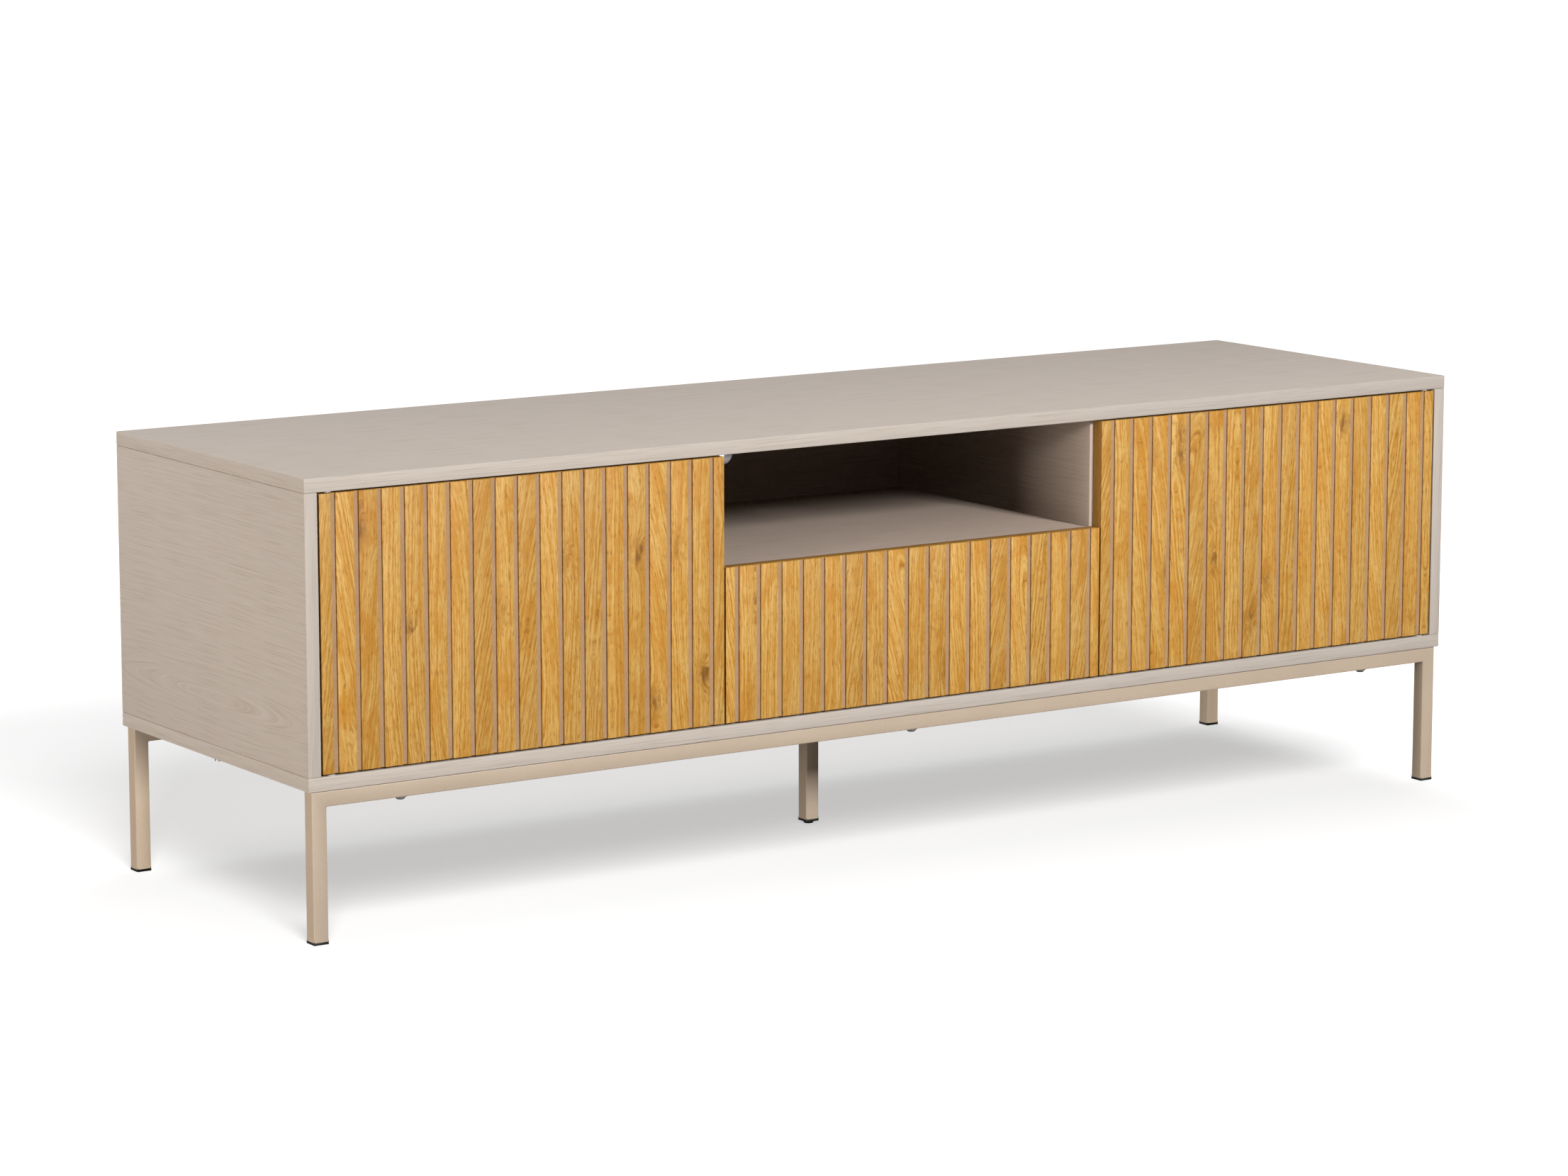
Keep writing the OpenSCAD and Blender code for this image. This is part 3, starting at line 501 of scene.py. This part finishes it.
def oak(name, edging=False):
    """Lacquered oak with rings, pores, blotches and a few knots; every piece has its own figure."""
    material, tree, shader = new_material(name)
    seeds, (x, y, z) = board_place(tree)
    first, second, third = seeds
    across, depth, along = x, y, z
    if edging:
        across = y
        along = add(tree, "ShaderNodeMix", {0: facing(tree, "Z"), 2: z, 3: x}).outputs[0]
    seed = scaled(tree, third, 37.0)
    shifted = total(tree, along, seed)
    stain, core = knots(tree, across, shifted, first, second)
    grain = oak_grain(tree, (across, depth, along), seeds, stain)
    slope = scaled(tree, first, -0.30, 0.15)
    ring, lines, fibres = wood_figure(tree, grain, seed, slope, 0.050, 0.022)
    pores = streaks(tree, ring, shifted, 0.0016, 0.009, 0.54, 0.67)
    pores = maths(tree, "MULTIPLY", pores, rescale(tree, lines, 0.35, 0.60, 1.0, 0.35))
    cloud_place = join(
        tree, scaled(tree, ring, 45.0), scaled(tree, first, 13.0), scaled(tree, shifted, 16.0)
    )
    clouds = noise(tree, cloud_place, 1.0, detail=4.0, roughness=0.7, distortion=0.6)
    bands = noise(tree, join(tree, scaled(tree, ring, 110.0), seed, scaled(tree, shifted, 5.0)), 1.0)
    mottle = noise(tree, join(tree, scaled(tree, grain[0], 420.0), seed, scaled(tree, shifted, 90.0)), 1.0)

    colour = oak_tones(tree, lines, fibres, clouds, bands, mottle)
    colour = blend(tree, scaled(tree, pores, 0.62), colour, OAK_DARK)
    colour = blend(tree, scaled(tree, third, 0.10), colour, OAK_ORANGE)
    tone = rescale(tree, second, 0.0, 1.0, 0.94, 1.07)
    colour = blend(tree, 1.0, colour, join(tree, tone, tone, tone), "MULTIPLY")
    colour = blend(tree, scaled(tree, stain, 0.55), colour, OAK_DARK)
    colour = blend(tree, scaled(tree, core, 0.65), colour, KNOT)
    if edging:
        colour = blend(tree, 0.6, colour, EDGING)
    else:
        # Painted shade: the slats' sides, which face along X into the grooves, are darkened to draw the
        # grooves' shadow lines
        colour = blend(tree, scaled(tree, facing(tree, "X"), 0.30), colour, OAK_DARK)
    height = maths(tree, "SUBTRACT", fibres, scaled(tree, pores, 1.2))
    roughness = rescale(tree, fibres, 0.3, 0.7, 0.42, 0.56)
    set_surface(tree, shader, colour, roughness, height, 0.12 * MM, specular=0.28)
    return material


def fibreboard():
    """Bare fibreboard with fine speckle."""
    material, tree, shader = new_material("front_mdf")
    place = add(tree, "ShaderNodeTexCoord").outputs["Object"]
    speckle = noise(tree, place, 1400.0, detail=3.0, roughness=0.7)
    both = mix(tree, speckle, noise(tree, place, 45.0), 0.75)
    colour = blend(tree, rescale(tree, both, 0.36, 0.62), FIBREBOARD_DARK, FIBREBOARD)
    roughness = rescale(tree, speckle, 0.3, 0.7, 0.95, 0.80)
    set_surface(tree, shader, colour, roughness, speckle, 0.10 * MM, specular=0.2)
    return material


def plain_wood(name, colour):
    """Simple unfinished wood for small hidden pieces."""
    material, tree, shader = new_material(name)
    _, lines, fibres = wood_figure(tree, object_place(tree), 0.0, 0.02, 0.01, 0.030)
    both = mix(tree, lines, fibres, 0.5)
    tone = blend(tree, rescale(tree, both, 0.35, 0.6), shade(colour, 0.7), colour)
    set_surface(tree, shader, tone, rescale(tree, fibres, 0.3, 0.7, 0.8, 0.65), fibres, 0.10 * MM)
    return material


def powder_coat(name, colour):
    """Matt powder coat with its fine orange peel and faint tone changes."""
    material, tree, shader = new_material(name)
    place = add(tree, "ShaderNodeTexCoord").outputs["Object"]
    peel = noise(tree, place, 620.0, roughness=0.55)
    both = mix(tree, peel, noise(tree, place, 14.0, detail=3.0), 0.5)
    tone = blend(tree, rescale(tree, both, 0.35, 0.65), shade(colour, 0.93), colour)
    roughness = rescale(tree, peel, 0.3, 0.7, 0.50, 0.38)
    set_surface(tree, shader, tone, roughness, peel, 0.06 * MM, specular=0.45)
    return material


def zinc(name, colour, low_roughness, high_roughness):
    """Zinc plate: cloudy brightness and fine drawing lines."""
    material, tree, shader = new_material(name)
    place = add(tree, "ShaderNodeTexCoord").outputs["Object"]
    cloud = noise(tree, place, 160.0, detail=4.0, roughness=0.6)
    x, y, z = object_place(tree)
    drawn_place = join(tree, scaled(tree, x, 1500.0), scaled(tree, y, 40.0), scaled(tree, z, 1500.0))
    drawn = noise(tree, drawn_place, 1.0)
    tone = blend(tree, rescale(tree, cloud, 0.35, 0.65), shade(colour, 0.72), colour)
    roughness = rescale(tree, cloud, 0.3, 0.7, high_roughness, low_roughness)
    set_surface(tree, shader, tone, roughness, drawn, 0.03 * MM)
    shader.inputs["Metallic"].default_value = 1.0
    return material


def plastic(name, colour, low_roughness, high_roughness):
    """Moulded plastic with a fine spark-eroded texture."""
    material, tree, shader = new_material(name)
    place = add(tree, "ShaderNodeTexCoord").outputs["Object"]
    grain = noise(tree, place, 1100.0)
    cloud = noise(tree, place, 60.0)
    tone = blend(tree, rescale(tree, cloud, 0.3, 0.7), colour, shade(colour, 1.25, 0.004))
    roughness = rescale(tree, grain, 0.3, 0.7, high_roughness, low_roughness)
    set_surface(tree, shader, tone, roughness, grain, 0.05 * MM)
    return material


def make_materials():
    """The material of each node: a beige board's by its grain direction, the others' by their slot."""
    flat_faces = (("ZY", 0.25), ("ZX", 0.25), ("YX", 0.26))
    upright_faces = (("ZY", -0.10), ("XZ", 0.25), ("XY", 0.25))
    across_faces = (("ZY", 0.25), ("ZX", 0.09), ("YX", 0.25))
    flat = beige_board("beige_flat", flat_faces, 0.02)
    # The warm-tinted materials carry painted shade: the warm cast of the shaded inside, on the niche shelf,
    # the partitions, the back panels and the drawer back
    flat_shade_warmed = beige_board("beige_flat_shade_warmed", flat_faces, 0.02, SHADE_WARMTH)
    upright = beige_board("beige_upright", upright_faces, 0.09)
    upright_shade_warmed = beige_board("beige_upright_shade_warmed", upright_faces, 0.09, SHADE_WARMTH)
    across = beige_board("beige_across", across_faces, 0.02, SHADE_WARMTH)
    boards = {
        "top_panel": flat, "bottom_panel": flat, "niche_shelf": flat_shade_warmed,
        "left_bay_shelf": flat, "right_bay_shelf": flat, "drawer_bottom": flat,
        "left_side_panel": upright, "right_side_panel": upright,
        "left_partition": upright_shade_warmed, "right_partition": upright_shade_warmed,
        "drawer_left_side": upright, "drawer_right_side": upright,
        "left_back_panel": across, "niche_back_panel": across, "right_back_panel": across,
        "drawer_back": across,
    }
    slots = {
        "oak_slat": oak("oak_slat"),
        "oak_edging": oak("oak_edging", edging=True),
        "front_mdf": fibreboard(),
        "beech_dowel": plain_wood("beech_dowel", BEECH),
        "beige_steel": powder_coat("beige_steel", POWDER_COAT),
        # The grommet's dark grey is painted shade for the view through the cable hole
        "grey_plastic": plastic("grey_plastic", GROMMET_SHADE_GREY, 0.40, 0.55),
        "zinc_steel": zinc("zinc_steel", ZINC, 0.30, 0.48),
        "runner_steel": zinc("runner_steel", SHEET_ZINC, 0.28, 0.45),
        "black_plastic": plastic("black_plastic", BLACK, 0.42, 0.60),
        "white_plastic": plastic("white_plastic", WHITE, 0.35, 0.50),
    }
    return {node: boards.get(node) or slots[slot] for node, slot in SLOT_OF.items()}


# ---------------------------------------------------------------- meshes

def finish_mesh(bm, node):
    """Mesh from bm, smooth but for edges sharper than SMOOTH_ANGLE."""
    mesh = bpy.data.meshes.new(node + "_look")
    bm.normal_update()
    bm.to_mesh(mesh)
    bm.free()
    for attribute in ("custom_normal", "sharp_face"):
        if attribute in mesh.attributes:
            mesh.attributes.remove(mesh.attributes[attribute])
    mesh.shade_smooth()
    mesh.set_sharp_from_angle(angle=SMOOTH_ANGLE)
    return mesh


def make_piece(node, bm):
    """Piece made from bm that replaces a CAD node, rides on its body and takes its material."""
    mesh = finish_mesh(bm, node)
    piece = bpy.data.objects.new(node + "_look", mesh)
    bpy.context.scene.collection.objects.link(piece)
    mesh.materials.append(MATERIALS[node])
    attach(piece, BODY_OF[node])
    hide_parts(node)
    return piece


def solids_of(node):
    """Boxes (low, high) of the node's separate solids, from left to right."""
    bm = bmesh.new()
    bm.from_mesh(frame["nodes"][node].data)
    bmesh.ops.remove_doubles(bm, verts=bm.verts, dist=TOUCHING)
    boxes = []
    waiting = set(bm.verts)
    while waiting:
        group, reached = set(), [waiting.pop()]
        while reached:
            vert = reached.pop()
            group.add(vert)
            fresh = {e.other_vert(vert) for e in vert.link_edges} & waiting
            waiting -= fresh
            reached.extend(fresh)
        low = Vector(min(v.co[i] for v in group) for i in range(3))
        high = Vector(max(v.co[i] for v in group) for i in range(3))
        boxes.append((low, high))
    bm.free()
    return sorted(boxes, key=lambda box: tuple(box[0]))


def add_box(bm, low, high):
    """Box in bm; returns its vertices."""
    made = bmesh.ops.create_cube(bm, size=1.0)["verts"]
    for vert in made:
        vert.co = Vector(low[i] + (vert.co[i] + 0.5) * (high[i] - low[i]) for i in range(3))
    return made


def edges_of(verts):
    """Edges whose two ends are both in verts."""
    inside = set(verts)
    return list({e for v in verts for e in v.link_edges if e.other_vert(v) in inside})


def level_with(edge, axis, value):
    """True when both ends of the edge are at value on the axis (0, 1 or 2)."""
    return all(abs(vert.co[axis] - value) < TOUCHING for vert in edge.verts)


def round_edges(bm, edges, radius, segments=2):
    """Rounds the given edges."""
    bmesh.ops.bevel(
        bm, geom=edges, offset=radius, segments=segments, profile=0.5, affect="EDGES",
        clamp_overlap=False
    )


def new_figure_mesh(node):
    """Empty bmesh with room for each vertex's seed and place; the node's name sets the seeds."""
    random.seed(node)
    bm = bmesh.new()
    bm.verts.layers.float_vector.new("seed")
    bm.verts.layers.float_vector.new("local")
    return bm


def mark_figure(bm, verts, middle):
    """Gives the vertices one seed of their own and their place from the piece's middle."""
    seeds = bm.verts.layers.float_vector["seed"]
    local = bm.verts.layers.float_vector["local"]
    values = Vector((random.random(), random.random(), random.random()))
    for vert in verts:
        vert[seeds] = values
        vert[local] = vert.co - middle


def make_board(node, arris):
    """The CAD board with its outer edges eased and its bores and grooves kept."""
    bm = new_figure_mesh(node)
    bm.from_mesh(frame["nodes"][node].data)
    bmesh.ops.remove_doubles(bm, verts=bm.verts, dist=TOUCHING)
    bmesh.ops.dissolve_limit(bm, angle_limit=math.radians(1), verts=bm.verts, edges=bm.edges)
    low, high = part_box(node)

    def planes(vert):
        at_low = {(i, 0) for i in range(3) if abs(vert.co[i] - low[i]) < ON_BOX}
        at_high = {(i, 1) for i in range(3) if abs(vert.co[i] - high[i]) < ON_BOX}
        return at_low | at_high

    outer = [e for e in bm.edges if len(planes(e.verts[0]) & planes(e.verts[1])) > 1]
    round_edges(bm, outer, arris)
    mark_figure(bm, bm.verts, (low + high) / 2)
    return make_piece(node, bm)


def make_slats(node):
    """Oak slats with eased front edges, each with a figure of its own."""
    bm = new_figure_mesh(node)
    for low, high in solids_of(node):
        before = set(bm.verts)
        verts = add_box(bm, low, high)
        front = [edge for edge in edges_of(verts) if level_with(edge, 1, low.y)]
        round_edges(bm, front, SLAT_ARRIS)
        mark_figure(bm, set(bm.verts) - before, (low + high) / 2)
    return make_piece(node, bm)


def make_portal(node):
    """Leg frame of square tube, rounded on every edge but those around the leg ends."""
    low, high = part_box(node)
    tube = high.y - low.y
    outline = [
        (low.x, low.z), (low.x + tube, low.z), (low.x + tube, high.z - tube),
        (high.x - tube, high.z - tube), (high.x - tube, low.z), (high.x, low.z),
        (high.x, high.z), (low.x, high.z),
    ]
    bm = bmesh.new()
    front = [bm.verts.new((x, low.y, z)) for x, z in outline]
    rear = [bm.verts.new((x, high.y, z)) for x, z in outline]
    bm.faces.new(front)
    bm.faces.new(reversed(rear))
    for i in range(len(outline)):
        j = (i + 1) % len(outline)
        bm.faces.new((front[j], front[i], rear[i], rear[j]))
    bmesh.ops.recalc_face_normals(bm, faces=bm.faces)
    raised = [edge for edge in bm.edges if not level_with(edge, 2, low.z)]
    round_edges(bm, raised, TUBE_ROUNDING, 3)
    return make_piece(node, bm)


def add_square(bm, middle, reach, bottom, top):
    """Upright square prism in bm around middle, to reach on each side; returns its vertices."""
    low = (middle.x - reach, middle.y - reach, bottom)
    high = (middle.x + reach, middle.y + reach, top)
    return add_box(bm, low, high)


def make_centre_leg():
    """Centre leg: rounded tube, screw plate and the weld bead between them."""
    node = "centre_leg"
    low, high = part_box(node)
    frame_low, frame_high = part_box("front_leg_frame")
    half = (frame_high.y - frame_low.y) / 2
    middle = (low + high) / 2
    plate_z = high.z - PLATE_THICKNESS
    bm = bmesh.new()
    tube = add_square(bm, middle, half, low.z, plate_z)
    ends = (low.z, plate_z)
    upright = [edge for edge in edges_of(tube) if not any(level_with(edge, 2, z) for z in ends)]
    round_edges(bm, upright, TUBE_ROUNDING, 3)
    plate = add_box(bm, (low.x, low.y, plate_z), high)
    round_edges(bm, edges_of(plate), PLATE_ARRIS)
    weld = add_square(bm, middle, half + WELD_REACH, plate_z - WELD_HEIGHT, plate_z)
    bead = [edge for edge in edges_of(weld) if not level_with(edge, 2, plate_z)]
    round_edges(bm, bead, WELD_ROUNDING)
    return make_piece(node, bm)


def make_caps(node):
    """Square plastic plates under the legs, with softened edges and the shadow groove above."""
    bm = bmesh.new()
    lip = Vector((CAP_LIP, CAP_LIP, 0))
    for low, high in solids_of(node):
        top = low.z + CAP_THICKNESS
        plate = add_box(bm, low, (high.x, high.y, top - CAP_LIP))
        round_edges(bm, edges_of(plate), CAP_ARRIS)
        neck_low = Vector((low.x, low.y, top - 2 * CAP_LIP)) + lip
        add_box(bm, neck_low, Vector((high.x, high.y, top + CAP_NECK)) - lip)
    return make_piece(node, bm)


def make_turned(node, profile_of):
    """Turned solids on upright axes, one for each solid of the node.

    profile_of(width, height) gives the outline, from the axis at the lower end to the axis at the
    upper end, as (radius, height, hexagonal) points. All of it is in millimetres.
    """
    bm = bmesh.new()
    for low, high in solids_of(node):
        centre = (low + high) / 2
        rings = []
        for radius, height, hexagonal in profile_of((high.x - low.x) / MM, (high.z - low.z) / MM):
            ring = []
            for side in range(TURNED_SIDES):
                angle = 2 * math.pi * side / TURNED_SIDES
                flat = math.cos((angle % (math.pi / 3)) - math.pi / 6) if hexagonal else 1.0
                reach = radius * MM / flat
                ring.append(bm.verts.new((
                    centre.x + reach * math.cos(angle), centre.y + reach * math.sin(angle),
                    low.z + height * MM
                )))
            rings.append(ring)
        for lower, upper in zip(rings, rings[1:]):
            for side in range(TURNED_SIDES):
                after = (side + 1) % TURNED_SIDES
                bm.faces.new((lower[side], lower[after], upper[after], upper[side]))
        bm.faces.new(rings[0])
        bm.faces.new(rings[-1])
    bmesh.ops.recalc_face_normals(bm, faces=bm.faces)
    return make_piece(node, bm)


def button_screw(width, height):
    """Outline of a flanged button-head screw with a hexagon socket, head down."""
    head = width / 2
    socket = [(2.5, 2.2, True), (2.5, 0.2, True)]
    dome = [(3.2, 0.0, False), (4.4, 0.5, False), (5.3, 1.5, False), (5.6, 2.6, False)]
    flange = [
        (head - 0.3, 2.8, False), (head, 3.1, False), (head, 3.8, False), (head - 0.3, 4.0, False)
    ]
    shank = [(3.0, 4.0, False), (3.0, height, False)]
    return socket + dome + flange + shank


def threaded_glide(width, height):
    """Outline of a round glide with a softened rim on its threaded stem."""
    rim = width / 2
    turns, pitch, first_turn = 13, 1.25, 4.0
    foot = [
        (rim - 1.2, 0.0, False), (rim - 0.4, 0.3, False), (rim, 1.0, False), (rim, 1.8, False),
        (rim - 0.5, 2.5, False), (rim - 1.5, 2.7, False), (3.0, 2.7, False),
    ]
    thread = []
    for turn in range(turns):
        start = first_turn + turn * pitch
        thread += [(2.5, start, False), (3.0, start + pitch / 2, False)]
    return foot + thread + [(2.4, height, False)]


# ---------------------------------------------------------------- assembly

bpy.context.scene.view_settings.view_transform = "Standard"
make_camera()
make_world()
make_lights(make_floor())

MATERIALS = make_materials()
for node, thing in frame["nodes"].items():
    thing.data.materials.clear()
    thing.data.materials.append(MATERIALS[node])

for node in BOARDS:
    make_board(node, BOARD_ARRIS)
for node in THIN_BOARDS:
    make_board(node, THIN_ARRIS)
for node in SLATS:
    make_slats(node)
make_portal("front_leg_frame")
make_base_light([make_portal("rear_leg_frame")])
make_centre_leg()
for node in CAPS:
    make_caps(node)
make_turned("frame_screws", button_screw)
make_turned("levelling_glide", threaded_glide)
